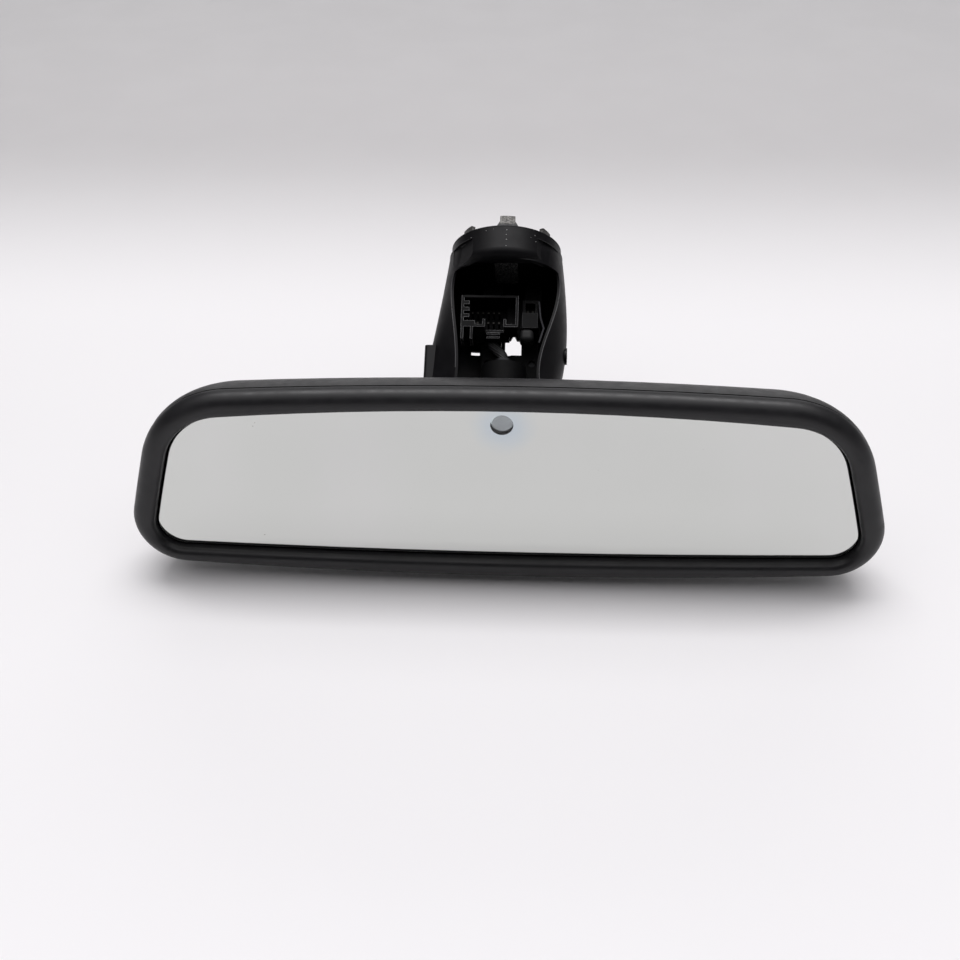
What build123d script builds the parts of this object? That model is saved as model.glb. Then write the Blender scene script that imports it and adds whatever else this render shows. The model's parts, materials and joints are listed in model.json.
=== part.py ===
"""Interior rearview mirror: self-dimming head on a ball joint, under a windscreen claw mount.

The row's origin is the centre of the claw circle, on the mount's top plane. +X is to the right
as the driver looks at the glass, +Y is forward, away from the driver, and +Z is up. The mount is
modelled upright in its own frame (claws up, open side to -Y) and the head in another (glass to
-Y, origin at the ball's centre); each is then turned about X into its stored attitude.
"""

from build123d import *
from math import cos, radians, sin
import os

# ---- Attitude -------------------------------------------------------------------------------
MOUNT_LEAN = 57.0      # the mount's axis, back from vertical
HEAD_LEAN = 4.5        # the glass, back from vertical
BALL_DROP = 65.0       # mount plane to ball centre, along the mount's axis
BALL_BACK = 5.0        # ball centre behind the mount's axis
HEAD_SHIFT = 2.0       # centre of the head to the right of the ball

# ---- Head outline, about the centre of the head, with z from the ball ------------------------
HEAD_TOP = 35.4
HEAD_BOTTOM = -39.3
SIDE_X = 124.7         # half width at SIDE_Z
SIDE_Z = -11.2
SIDE_SLOPE = 0.29      # the sides come in by this much per millimetre of height
SIDE_BULGE = 0.5
TOP_ARC_R = 1500.0
BOTTOM_ARC_R = 1850.0
TOP_CORNER_R = 34.0
BOTTOM_CORNER_R = 17.5
OPENING_TOP_ARC_R = 1000.0
OPENING_BOTTOM_ARC_R = 3100.0
OPENING_TOP_CORNER_R = 22.5
OPENING_BOTTOM_CORNER_R = 9.5

GLASS_Y = -34.0        # front of the glass
BEZEL_CREST_Y = -38.0
BEZEL_BACK_Y = -33.0
BEZEL_SIDE = 8.2
BEZEL_UPPER = 7.2
BEZEL_LOWER = 7.8
BEZEL_OUTER_ROUND = 4.6
BEZEL_INNER_ROUND = 2.4
GLASS_GAP = 0.5
GLASS_T = 2.0
GEL_T = 0.3
FOAM_T = 1.2
CARRIER_T = 2.0
PCB_T = 1.6
SHELL_T = 2.0
TONGUE_T = 1.2
TONGUE_INSET = 3.4
TONGUE_BACK_Y = -29.5
WALL_BACK_Y = -26.0
SHELL_HOLE_R = 16.8
TUNNEL_T = 1.4
SEAL_W = 1.5
EDGE_GRIND = 0.4
BUS_HALF = 70.0
BUS_T = 0.3
BUS_W = 3.2
BUS_Z = (-27.4, 23.8)
BUS_GAP = 7.0
RIB_Z = 18.0
RIB_H = 3.5
SCREW_R = 1.25
BOARD_POSTS = ((28.0, 12.0), (96.0, 12.0), (28.0, -16.0), (96.0, -16.0))
SOCKET_POSTS = ((-16.0, -9.0), (16.0, -9.0), (-16.0, 9.0), (16.0, 9.0))

GEL_Y = GLASS_Y + GLASS_T + 0.01
REAR_Y = GEL_Y + GEL_T + 0.01
FOAM_Y = REAR_Y + GLASS_T + 0.02
CARRIER_Y = FOAM_Y + FOAM_T + 0.02

# rear shell sections: y, side inset, top inset, bottom inset, top corner, bottom corner
SHELL_SECTIONS = [
    (-32.3, 0.1, 0.1, 0.1, 34.0, 17.5),
    (-27.0, 0.9, 0.9, 0.4, 34.5, 17.5),
    (-20.0, 5.0, 4.6, 1.4, 34.0, 17.0),
    (-13.0, 13.3, 10.3, 4.0, 27.0, 16.0),
    (-8.5, 27.0, 16.0, 8.5, 21.0, 15.0),
    (-6.5, 44.0, 21.5, 14.0, 16.0, 13.5),
]

# ---- Dimming sensors and electronics ---------------------------------------------------------
WINDOW_R = 3.7
WINDOW_Z = 21.0
PCB_SIZE = (78.0, 34.0)
PCB_X = 62.0
PCB_Y = -23.0
PCB_Z = -2.0
LENS_R = 4.5
LENS_X = 42.0
LENS_Z = 3.0
LENS_FACE_Y = -6.0

# ---- Ball joint ------------------------------------------------------------------------------
BALL_R = 8.5
STUD_R = 4.5
BORE_R = 2.4
LINER_R = (8.55, 9.85)
SPRING_R = (9.93, 10.85)
SOCKET_R = (10.93, 14.5)
MOUTH_ANGLE = 54.0     # half angle of the socket's mouth
MOUTH_LIFT = 43.0      # the mouth's axis, up from the horizontal
CAP_BAND_R = (14.0, 15.6)
STUD_LIFT = 90.0 - MOUNT_LEAN + HEAD_LEAN
HARNESS_R = 1.8
HEAD_CLEARANCE_R = 17.5
ARM_CLEARANCE_R = 16.4

# ---- Mount: claw plate -----------------------------------------------------------------------
CLAW_COUNT = 6
CLAW_R = 15.0
CLAW_T = 1.5
CLAW_W = 5.4
CLAW_TOPS = (5.6, 4.5)  # alternate claws are shorter
CLAW_TURN = 2.5
PLATE_R = 17.4
PLATE_HOLE_R = 6.0
PLATE_TOP = -0.5
PLATE_T = 1.48
SEAT_R = (6.3, 10.0)
SEAT_T = 0.9
SCREW_CIRCLE_R = 12.6

# ---- Mount: hood -----------------------------------------------------------------------------
CAP_R = 19.6
CAP_WALL = 1.8
CAP_FACE = 8.1         # height of the cap's upright face
CAP_LIP = 3.6          # radius with which the face curls under
CEILING = 2.0
RECESS_WALL = 1.9
FACET_R = 18.5
FACET_ANGLE = 54.0
SKIRT_T = 0.9
CAP_MOUTH_Y = -14.3     # inner edge of the curled lip
HOOD_END = -54.0

# hood sections: z, left rim, right rim, left flank, right flank, back
RIM_Y = -4.0
FLANK_Y = 8.0
HOOD_SECTIONS = [
    (-2.0, -19.2, 19.2, -19.9, 19.4, 18.6),
    (-16.0, -19.4, 19.8, -22.7, 21.3, 19.0),
    (-32.0, -17.6, 16.2, -25.6, 22.4, 19.3),
    (-56.0, -14.6, 12.0, -30.6, 18.6, 19.6),
]

# ---- Mount: what the hood holds --------------------------------------------------------------
SOCKET_X = (-14.2, 4.2)
SOCKET_Z = (-31.4, -21.0)
SOCKET_FACE_Y = -6.0
SOCKET_FLOOR_Y = 5.0
SOCKET_BACK_Y = 8.0
SOCKET_WALL = 0.8
KEY_COUNT = 3
KEY_PITCH = 2.5
PIN_COUNT = 6
PIN_PITCH = 1.9
HOOD_SCREW_Z = -40.0
HOOD_BACK_Y = 20.2
LEG_X = ((-8.2, -1.2), (7.0, 13.0))
ARM_HOLE_R = 3.6
ARM_UNDER_Z = -7.75
PAD_T = 1.2
BOSS_R = 8.0
HOOD_SCREW_X = (-6.0, 10.0)
LEG_Y = (8.6, 14.6)

os.makedirs("parts", exist_ok=True)

MOUNT_PLACE = Rot(X=-MOUNT_LEAN)
BALL_PLACE = MOUNT_PLACE * Pos(0, BALL_BACK, -BALL_DROP)
BALL_AT = BALL_PLACE.position
JOINT_PLACE = Pos(*BALL_AT) * Rot(X=-HEAD_LEAN)
HEAD_PLACE = JOINT_PLACE * Pos(HEAD_SHIFT, 0, 0)


def box(x, y, z):
    """A block from its low and high corner along each axis."""
    size = (x[1] - x[0], y[1] - y[0], z[1] - z[0])
    return Pos((x[0] + x[1]) / 2, (y[0] + y[1]) / 2, (z[0] + z[1]) / 2) * Box(*size)


def rod(a, b, radius):
    """A round bar between two points."""
    start, end = Vector(*a), Vector(*b)
    axis = end - start
    return Plane(origin=start, z_dir=axis.normalized()) * extrude(Circle(radius), axis.length)


def save(name, shape, place):
    """Write one node, with all its solids, in its place."""
    solids = [place * solid for solid in shape.solids()]
    result = solids[0] if len(solids) == 1 else Compound(children=solids)
    export_step(result, f"parts/{name}.step")


# ---- Head ------------------------------------------------------------------------------------

def head_outline(side=0.0, upper=0.0, lower=0.0, top_r=TOP_CORNER_R, bottom_r=BOTTOM_CORNER_R,
                 top_arc=TOP_ARC_R, bottom_arc=BOTTOM_ARC_R):
    """The head's face outline, drawn in by the given insets, on the XY plane (y is height)."""
    top, bottom = HEAD_TOP - upper, HEAD_BOTTOM + lower

    def side_x(z):
        return SIDE_X - side - SIDE_SLOPE * (z - SIDE_Z)

    def corner(level, radius, sense):
        z = level - sense * side_x(level) ** 2 / (2 * radius)
        return side_x(z), z

    upper_x, upper_z = corner(top, top_arc, 1)
    lower_x, lower_z = corner(bottom, bottom_arc, -1)
    middle_z = (upper_z + lower_z) / 2
    middle_x = side_x(middle_z) + SIDE_BULGE
    face = make_face(Wire([
        ThreePointArc((-upper_x, upper_z), (0, top), (upper_x, upper_z)),
        ThreePointArc((upper_x, upper_z), (middle_x, middle_z), (lower_x, lower_z)),
        ThreePointArc((lower_x, lower_z), (0, bottom), (-lower_x, lower_z)),
        ThreePointArc((-lower_x, lower_z), (-middle_x, middle_z), (-upper_x, upper_z)),
    ]))
    face = fillet(face.vertices().sort_by(Axis.Y)[2:], top_r)
    return fillet(face.vertices().sort_by(Axis.Y)[:2], bottom_r)


def opening_outline(grow=0.0):
    """The bezel's opening, widened all round. It is more arched than the head, so the ring swells."""
    return head_outline(
        BEZEL_SIDE - grow, BEZEL_UPPER - grow, BEZEL_LOWER - grow,
        OPENING_TOP_CORNER_R + grow, OPENING_BOTTOM_CORNER_R + grow,
        OPENING_TOP_ARC_R, OPENING_BOTTOM_ARC_R)


def edge_outline(inset):
    """The head's outline drawn in evenly, corners and all."""
    return head_outline(inset, inset, inset, TOP_CORNER_R - inset, BOTTOM_CORNER_R - inset)


def upright(y):
    """The plane at depth y whose own y axis is the head's height."""
    return Plane(origin=(0, y, 0), x_dir=(1, 0, 0), z_dir=(0, -1, 0))


def slab(outline, front, back):
    """An outline given thickness between two depths; front is the smaller y."""
    return extrude(upright(back) * outline, back - front)


def bezel():
    """Front frame: domed ring, inner wall round the glass and a tongue for the rear shell."""
    ring = slab(head_outline(), BEZEL_CREST_Y, BEZEL_BACK_Y)
    ring = fillet(ring.faces().sort_by(Axis.Y)[0].edges(), BEZEL_OUTER_ROUND)
    ring -= slab(opening_outline(), BEZEL_CREST_Y - 1, BEZEL_BACK_Y + 1)
    front = ring.faces().filter_by(Axis.Y).sort_by(Axis.Y)[0]
    ring = fillet(front.inner_wires()[0].edges(), BEZEL_INNER_ROUND)
    wall = slab(opening_outline(1.6), BEZEL_BACK_Y - 0.5, WALL_BACK_Y)
    wall -= slab(opening_outline(), BEZEL_BACK_Y - 1, WALL_BACK_Y + 1)
    tongue = slab(edge_outline(TONGUE_INSET), BEZEL_BACK_Y - 0.5, TONGUE_BACK_Y)
    tongue -= slab(edge_outline(TONGUE_INSET + TONGUE_T), BEZEL_BACK_Y - 1, TONGUE_BACK_Y + 1)
    return ring + wall + tongue


def shell_loft(shrink):
    """The rear shell's form, drawn in all round and from behind."""
    profiles = []
    for y, side, upper, lower, top_r, bottom_r in SHELL_SECTIONS:
        outline = head_outline(side + shrink, upper + shrink, lower + shrink,
                               top_r - shrink / 2, bottom_r - shrink / 2)
        setback = shrink if y > SHELL_SECTIONS[1][0] else 0.0
        profiles.append(upright(y - setback) * outline)
    return loft(profiles)


def rear_shell():
    """Back cover: open to the front, with the joint's round hole and the forward lens hole."""
    shell = shell_loft(0.0) - shell_loft(SHELL_T)
    tunnel = rod((-HEAD_SHIFT, -20, 0), (-HEAD_SHIFT, -7.5, 0), SHELL_HOLE_R + TUNNEL_T)
    shell += tunnel
    shell -= rod((-HEAD_SHIFT, -22, 0), (-HEAD_SHIFT, 2, 0), SHELL_HOLE_R)
    shell -= box((8.0, 20.0), (-21.0, -12.0), (-12.0, -2.0))
    return shell - rod((LENS_X, -12, LENS_Z), (LENS_X, 2, LENS_Z), LENS_R + 0.1)


def glass_outline(inset=0.0):
    """The glass: the bezel's opening less its gap."""
    return opening_outline(-GLASS_GAP - inset)


def glass_front():
    """Clear front pane with a ground edge."""
    pane = slab(glass_outline(), GLASS_Y, GLASS_Y + GLASS_T)
    return chamfer(pane.faces().sort_by(Axis.Y)[0].edges(), EDGE_GRIND)


def window_hole(front, back):
    """The clear spot over the glare sensor, as a tool."""
    return rod((0, front, WINDOW_Z), (0, back, WINDOW_Z), WINDOW_R + 0.05)


def gel_layer():
    """Dimming gel between the panes, inside its seal."""
    sheet = slab(glass_outline(SEAL_W + 0.05), GEL_Y, GEL_Y + GEL_T)
    return sheet - window_hole(GEL_Y - 1, GEL_Y + 1)


def gel_seal():
    """Edge seal that holds the two panes apart."""
    ring = slab(glass_outline(0.3), GEL_Y, GEL_Y + GEL_T)
    return ring - slab(glass_outline(SEAL_W), GEL_Y - 1, GEL_Y + 1)


def glass_rear():
    """Rear pane, silvered on its back, with the clear spot drilled in the coating."""
    pane = slab(glass_outline(0.3), REAR_Y, REAR_Y + GLASS_T)
    return pane - window_hole(REAR_Y - 1, REAR_Y + GLASS_T + 1)


def sensor_window():
    """Clear plug behind the front pane, over the glare sensor."""
    return rod((0, GEL_Y, WINDOW_Z), (0, REAR_Y + GLASS_T, WINDOW_Z), WINDOW_R)


def bus_clip(z, reach, gap):
    """Thin contact strips along an edge of the rear pane, with solder tabs."""
    depth = (REAR_Y + GLASS_T + 0.02, REAR_Y + GLASS_T + BUS_T)
    half = BUS_W / 2
    tab_z = sorted((z, z + reach))
    strips = []
    for sense in (-1, 1):
        strip = box(sorted((sense * gap, sense * BUS_HALF)), depth, (z - half, z + half))
        strip += box(sorted((sense * (BUS_HALF - 12), sense * (BUS_HALF - 7))), depth, tab_z)
        strips.append(strip)
    return Compound(children=strips) if gap else strips[0] + strips[1]


def foam_backing():
    """Adhesive foam between the glass and the carrier, clear of the strips and the sensor."""
    pad = slab(head_outline(18, 17, 18, 14, 8), FOAM_Y, FOAM_Y + FOAM_T)
    return pad - rod((0, FOAM_Y - 1, WINDOW_Z), (0, FOAM_Y + 3, WINDOW_Z), WINDOW_R + 1.5)


def carrier_plate():
    """Stiff plate behind the glass: carries the socket, the board's posts and stiffening ribs."""
    plate = slab(opening_outline(-0.3), CARRIER_Y, CARRIER_Y + CARRIER_T)
    plate -= rod((0, CARRIER_Y - 1, WINDOW_Z), (0, CARRIER_Y + 4, WINDOW_Z), WINDOW_R + 1.5)
    top = CARRIER_Y + CARRIER_T - 0.2
    for z in (-RIB_Z, RIB_Z - 4.0):
        for x in ((-104.0, -22.0), (22.0, 104.0)):
            plate += box(x, (top, top + RIB_H), (z - 0.8, z + 0.8))
    for x, z in BOARD_POSTS:
        plate += rod((x, top, z), (x, PCB_Y - 0.02, z), 2.6)
        plate -= rod((x, top - 1, z), (x, PCB_Y + 1, z), SCREW_R)
    for x, z in SOCKET_POSTS:
        plate -= rod((x - HEAD_SHIFT, CARRIER_Y - 1, z), (x - HEAD_SHIFT, top + 2, z), SCREW_R)
    return plate


def main_board():
    """Dimming circuit board with its mounting holes."""
    half = PCB_SIZE[0] / 2
    board = box((PCB_X - half, PCB_X + half), (PCB_Y, PCB_Y + PCB_T),
                (-PCB_SIZE[1] / 2 + PCB_Z, PCB_SIZE[1] / 2 + PCB_Z))
    for x, z in BOARD_POSTS:
        board -= rod((x, PCB_Y - 1, z), (x, PCB_Y + 3, z), SCREW_R + 0.2)
    return board


def board_chips():
    """Controller, regulator, driver transistors and capacitors on the board's back."""
    top = PCB_Y + PCB_T + 0.02
    chips = [
        box((48, 58), (top, top + 1.8), (-6, 4)),
        box((64, 70), (top, top + 1.5), (-9, -4)),
        box((64, 69), (top, top + 1.5), (2, 6)),
        box((76, 82), (top, top + 2.2), (-8, -1)),
    ]
    cans = [rod((x, top, z), (x, top + 5.5, z), 2.6) for x, z in ((76, 6), (84, 6), (88, -6))]
    return Compound(children=chips + cans)


def board_header():
    """Shrouded header on the board for the harness plug."""
    top = PCB_Y + PCB_T + 0.02
    shroud = box((27, 35), (top, top + 4), (-12, -1))
    return shroud - box((28, 34), (top + 1, top + 7), (-11, -2))


def harness_plug():
    """Plug on the head's end of the harness, seated in the header."""
    top = PCB_Y + PCB_T + 1.1
    return box((28.2, 33.8), (top, top + 7.6), (-10.8, -2.2))


def board_screws():
    """Screws that hold the board to the carrier's posts."""
    top = PCB_Y + PCB_T
    screws = []
    for x, z in BOARD_POSTS:
        screws.append(rod((x, top + 0.01, z), (x, top + 1.6, z), 2.2)
                      + rod((x, PCB_Y - 4, z), (x, top + 0.5, z), SCREW_R - 0.05))
    return Compound(children=screws)


def glare_sensor():
    """Rear-looking light sensor on its own small board, behind the window."""
    back = REAR_Y + GLASS_T
    cell = rod((0, back + 0.1, WINDOW_Z), (0, back + 2.6, WINDOW_Z), 2.5)
    return cell + box((-5, 5), (CARRIER_Y + CARRIER_T + 0.02, CARRIER_Y + CARRIER_T + 1.2),
                      (WINDOW_Z - 6, WINDOW_Z + 4.5)) + rod(
        (0, back + 2, WINDOW_Z), (0, CARRIER_Y + CARRIER_T + 0.5, WINDOW_Z), 2.0)


def ambient_sensor():
    """Forward-looking light sensor on the main board."""
    top = PCB_Y + PCB_T + 0.02
    return box((LENS_X - 3, LENS_X + 3), (top, top + 1.2), (LENS_Z - 3, LENS_Z + 3)) + rod(
        (LENS_X, top + 1, LENS_Z), (LENS_X, top + 3.2, LENS_Z), 2.2)


def ambient_lens():
    """Smoked lens in the rear shell, over the forward sensor."""
    face = LENS_FACE_Y
    return rod((LENS_X, face - 3.0, LENS_Z), (LENS_X, face, LENS_Z), LENS_R) + rod(
        (LENS_X, face - 5.6, LENS_Z), (LENS_X, face - 4.4, LENS_Z), LENS_R + 0.9) + rod(
        (LENS_X, face - 5.0, LENS_Z), (LENS_X, face - 2.5, LENS_Z), LENS_R)


# ---- Ball joint, about the ball's centre, in the head's attitude ------------------------------

def tilted(lift):
    """The unit direction behind the head, raised by lift degrees."""
    return Vector(0, cos(radians(lift)), sin(radians(lift)))


def mouth_cone(lift, half_angle, reach=30.0):
    """The space a socket leaves open round a direction."""
    axis = tilted(lift)
    cone = Cone(0.01, reach * sin(radians(half_angle)) / cos(radians(half_angle)), reach)
    return Plane(origin=axis * (reach / 2), z_dir=axis) * cone


def spherical_shell(radii, mouth_lift, rear_hole_r):
    """A cup round the ball, open at the mouth and drilled at its pole for the harness."""
    cup = Sphere(radii[1]) - Sphere(radii[0]) - mouth_cone(mouth_lift, MOUTH_ANGLE)
    return cup - rod((0, 0, 0), tuple(tilted(mouth_lift) * -30), rear_hole_r)


def ball_cup_liner():
    """Plastic liner that turns on the ball."""
    return spherical_shell(LINER_R, STUD_LIFT, 4.2)


def tension_spring():
    """Slotted steel spring cup that loads the liner."""
    cup = spherical_shell(SPRING_R, MOUTH_LIFT, 5.0)
    for turn in range(0, 360, 60):
        cup -= mouth_frame() * Rot(Z=turn) * Pos(0, 9, 5) * Box(1.6, 8, 12)
    return cup


def mouth_frame():
    """The ball's centre, with z out along the socket's mouth."""
    return Plane(origin=(0, 0, 0), x_dir=(1, 0, 0), z_dir=tilted(MOUTH_LIFT))


def mouth_half(reach=40.0):
    """Everything on the mouth's side of the socket's split."""
    return mouth_frame() * Pos(0, 0, reach / 2 + 0.02) * Box(80, 80, reach)


def socket_body():
    """The whole socket before it is split into housing and cap."""
    return Sphere(SOCKET_R[1]) - Sphere(SOCKET_R[0]) - mouth_cone(MOUTH_LIFT, MOUTH_ANGLE)


def socket_housing():
    """Moulded base on the carrier, with the closed side of the ball's socket."""
    base = CARRIER_Y + CARRIER_T + 0.02
    cup = socket_body() - mouth_half()
    column = rod((0, base, 0), (0, -9.5, 0), 13.0) - Sphere(SOCKET_R[1] - 0.5)
    column -= mouth_frame() * Pos(0, 0, 1.7) * Cylinder(CAP_BAND_R[1] + 0.3, 3.5)
    foot = box((-19, 19), (base, base + 3.0), (-12, 12))
    foot = fillet(foot.edges().filter_by(Axis.Y), 3.0)
    body = cup + column + foot
    body -= rod((0, -14.5, 0), (0, base - 1, 0), 7.0)
    body -= box((-3.0, 20), (-17.6, -10.5), (-12.6, -4.5))
    body -= rod((0, 0, 0), tuple(tilted(MOUTH_LIFT) * -16.0), 5.4)
    for x, z in SOCKET_POSTS:
        body -= rod((x, base - 1, z), (x, base + 5, z), SCREW_R + 0.2)
    return body


def socket_cap():
    """Snap-on ring that closes the socket over the ball."""
    inner, outer = CAP_BAND_R
    band = Pos(0, 0, 1.55) * (Cylinder(outer, 3.0) - Cylinder(inner, 4.0))
    return (socket_body() & mouth_half()) + mouth_frame() * band


def socket_screws():
    """Screws that hold the socket housing to the carrier."""
    base = CARRIER_Y + CARRIER_T + 3.03
    screws = []
    for x, z in SOCKET_POSTS:
        screws.append(rod((x, base, z), (x, base + 1.8, z), 2.4)
                      + rod((x, CARRIER_Y + 0.1, z), (x, base + 0.5, z), SCREW_R - 0.05))
    return Compound(children=screws)


def head_harness():
    """Sheathed wires from inside the ball's socket to the plug on the board."""
    exit_way = tilted(STUD_LIFT) * -1
    route = [exit_way * 11.4, exit_way * 16.6, Vector(9, -14.6, -10.0),
             Vector(20, -15.0, -7.0), Vector(28.2 + HEAD_SHIFT - 0.03, -15.0, -7.0)]
    path = FilletPolyline(*route, radius=[3.0, 6.0, 8.0])
    return sweep(Plane(origin=route[0], z_dir=exit_way) * Circle(HARNESS_R), path)


# ---- Mount, upright, about the centre of the claw circle --------------------------------------

def around(turn):
    """A turn about the mount's axis, from the open side."""
    return Rot(Z=turn + CLAW_TURN)


def claw_plate():
    """Pressed plate with six upright claws that grip the windscreen's button."""
    plate = Pos(0, 0, PLATE_TOP - PLATE_T / 2) * Cylinder(PLATE_R, PLATE_T)
    plate -= Cylinder(PLATE_HOLE_R, 10)
    plate -= Pos(0, 0, PLATE_TOP) * (Cylinder(SEAT_R[1] + 0.05, 2 * SEAT_T)
                                     - Cylinder(SEAT_R[0] - 0.05, 4))
    for index in range(CLAW_COUNT):
        bottom, top = PLATE_TOP - 0.2, CLAW_TOPS[index % 2]
        arm = box((-CLAW_W / 2, CLAW_W / 2), (-CLAW_R - CLAW_T - 1, 0), (bottom, top))
        root = Plane.XZ * Polygon(
            (-CLAW_W / 2 - 2.6, bottom), (CLAW_W / 2 + 2.6, bottom), (CLAW_W / 2, 3.6),
            (-CLAW_W / 2, 3.6), align=None)
        arm += extrude(root, CLAW_R + CLAW_T + 1)
        ring = Pos(0, 0, 3) * (Cylinder(CLAW_R + CLAW_T, 20) - Cylinder(CLAW_R, 20))
        claw = arm & ring
        lead = Pos(0, 0, top) * Cone(CLAW_R - 0.5, CLAW_R + 0.5, 1.0)
        plate += around(360 / CLAW_COUNT * index) * (claw - lead)
    for turn in range(30, 360, 120):
        spot = around(turn) * Pos(0, -SCREW_CIRCLE_R, 0)
        plate -= spot * Cylinder(1.3, 12)
        plate -= spot * Pos(0, 0, PLATE_TOP) * Cylinder(2.4, 1.8)
    return plate


def seat_ring():
    """Soft ring let into the plate's middle, level with the face the button rests on."""
    inner, outer = SEAT_R
    return Pos(0, 0, PLATE_TOP - SEAT_T / 2) * (
        Cylinder(outer, SEAT_T - 0.04) - Cylinder(inner, SEAT_T + 1))


def plate_screws():
    """Countersunk screws through the claw plate into the arm."""
    screws = []
    for turn in range(30, 360, 120):
        spot = around(turn) * Pos(0, -SCREW_CIRCLE_R, 0)
        head = Pos(0, 0, PLATE_TOP - 0.46) * Cylinder(2.3, 0.84)
        shank = Pos(0, 0, PLATE_TOP - 3.6) * Cylinder(1.2, 6.0)
        drive = Pos(0, 0, PLATE_TOP) * Cylinder(1.0, 0.9)
        screws.append(spot * (head + shank - drive))
    return Compound(children=screws)


def hood_section(z, left_rim, right_rim, left_flank, right_flank, back, shrink=0.0):
    """A closed cross-section of the hood's skirt, drawn in evenly for its inside."""
    grow = -shrink
    points = [
        (0.0, -17.0),
        (right_rim + grow, RIM_Y),
        (right_flank + grow, FLANK_Y),
        (right_flank * 0.62 + grow * 0.7, back - 0.9 + grow * 0.9),
        (0.0, back + grow),
        (left_flank * 0.62 - grow * 0.7, back - 0.9 + grow * 0.9),
        (left_flank - grow, FLANK_Y),
        (left_rim - grow, RIM_Y),
    ]
    return Plane(origin=(0, 0, z)) * make_face(Spline(*points, periodic=True))


def hood_loft(shrink=0.0):
    """The hood's skirt as one smooth body."""
    sections = []
    for section in HOOD_SECTIONS:
        sections.append(hood_section(*section, shrink=shrink))
    return loft(sections)


def hood_opening():
    """All that is open in front of the rims, from under the cap's lip down to the end."""
    front, lip = -CAP_R - 3, -CAP_FACE - CAP_LIP + 0.4
    profile = Plane.YZ * make_face(Wire([
        Line((front, -80), (front, lip)),
        Line((front, lip), (-6.5, lip)),
        Spline((-6.5, lip), (-4.9, -14.5), (-4.2, -20.0), (-4.0, -32.0), (-3.0, -46.0),
               (-1.0, -60.0)),
        Line((-1.0, -60.0), (-1.0, -80.0)),
        Line((-1.0, -80.0), (front, -80.0)),
    ]))
    return extrude(profile, 60, both=True)


def back_window(corners):
    """A window through the hood's back, from its corners (x, z)."""
    return Pos(0, 18, 0) * extrude(Plane.XZ * Polygon(*corners, align=None), 5, both=True)


def foot_hood():
    """Moulded hood: round cap over the plate, flared skirt, windows in its back."""
    cap_height = CAP_FACE + CAP_LIP
    cap = Pos(0, 0, -cap_height / 2) * Cylinder(CAP_R, cap_height)
    cap = fillet(cap.faces().sort_by(Axis.Z)[0].edges(), CAP_LIP)
    hollow_depth = cap_height - CEILING - CAP_WALL
    hollow = Pos(0, 0, -CEILING - hollow_depth / 2) * Cylinder(CAP_R - CAP_WALL, hollow_depth)
    hollow = fillet(hollow.faces().sort_by(Axis.Z)[0].edges(), CAP_LIP - 1.4)
    for side in (-1, 1):
        facet = Pos(0, -FACET_R - 5, -10.5) * Box(30, 10, 15)
        cap -= Rot(Z=side * FACET_ANGLE) * facet
    skirt = hood_loft() - hood_opening()
    body = cap + skirt
    inside = hood_loft(SKIRT_T) & box((-40, 40), (-11.0, 40), (-80, -CEILING))
    body -= hollow + inside
    mouth = Pos(0, 0, -CEILING - 14.0) * Cylinder(CAP_R - CAP_WALL - 0.6, 28.0)
    body -= mouth & box((-CAP_R, CAP_R), (CAP_MOUTH_Y, 8.0), (-14.0, -CEILING))
    body -= Pos(0, 0, -CEILING / 2 + 0.01) * Cylinder(CAP_R - RECESS_WALL, CEILING)
    ceiling = Pos(0, 0, -CEILING - 0.75) * Cylinder(CAP_R - 1, 1.5)
    ceiling += hood_loft(0.3) & box((-40, 40), (-11.0, 40), (-CEILING - 1.5, -CEILING))
    body += ceiling - Pos(0, 0, -CEILING) * Cylinder(PLATE_HOLE_R, 6)
    body -= box((-60, 60), (-60, 60), (-120, HOOD_END))
    body -= Pos(0, BALL_BACK, -BALL_DROP) * Sphere(HEAD_CLEARANCE_R)
    body -= back_window(((-0.1, -26.7), (1.9, -26.7), (3.1, -24.4), (4.2, -26.7), (5.9, -26.7),
                         (5.9, -32.8), (-0.1, -32.8)))
    body -= back_window(((-12.6, -31.4), (-9.4, -31.4), (-9.4, -32.8), (-12.6, -32.8)))
    for turn in range(30, 360, 120):
        body -= around(turn) * Pos(0, -SCREW_CIRCLE_R, -3) * Cylinder(1.5, 12)
    for x in HOOD_SCREW_X:
        body -= rod((x, 14, HOOD_SCREW_Z), (x, 24, HOOD_SCREW_Z), 1.5)
    return body


def foot_arm():
    """Die-cast arm: ring under the plate, two legs, and the boss for the ball's stud."""
    ring = Pos(0, 0, -6.0) * (Cylinder(16.0, 3.5) - Cylinder(ARM_HOLE_R, 6))
    arm = ring & box((-20, 20), (-12.6, 20), (-20, 0))
    for x in LEG_X:
        arm += box(x, LEG_Y, (-40.0, -5.0))
    arm += box((LEG_X[0][0], LEG_X[1][1]), LEG_Y, (-50.0, -36.8))
    arm += Pos(0, BALL_BACK, -48.2) * Cylinder(BOSS_R, 9.6)
    arm += box((-BOSS_R, BOSS_R), (BALL_BACK, LEG_Y[1]), (-50.0, -43.4))
    arm -= Pos(0, BALL_BACK, -46.0) * Cylinder(STUD_R, 24.0)
    for turn in range(30, 360, 120):
        arm -= around(turn) * Pos(0, -SCREW_CIRCLE_R, -4) * Cylinder(1.25, 12)
    for x in HOOD_SCREW_X:
        arm -= rod((x, 8, HOOD_SCREW_Z), (x, 24, HOOD_SCREW_Z), 1.25)
    return arm - Pos(0, BALL_BACK, -BALL_DROP) * Sphere(ARM_CLEARANCE_R)


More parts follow.
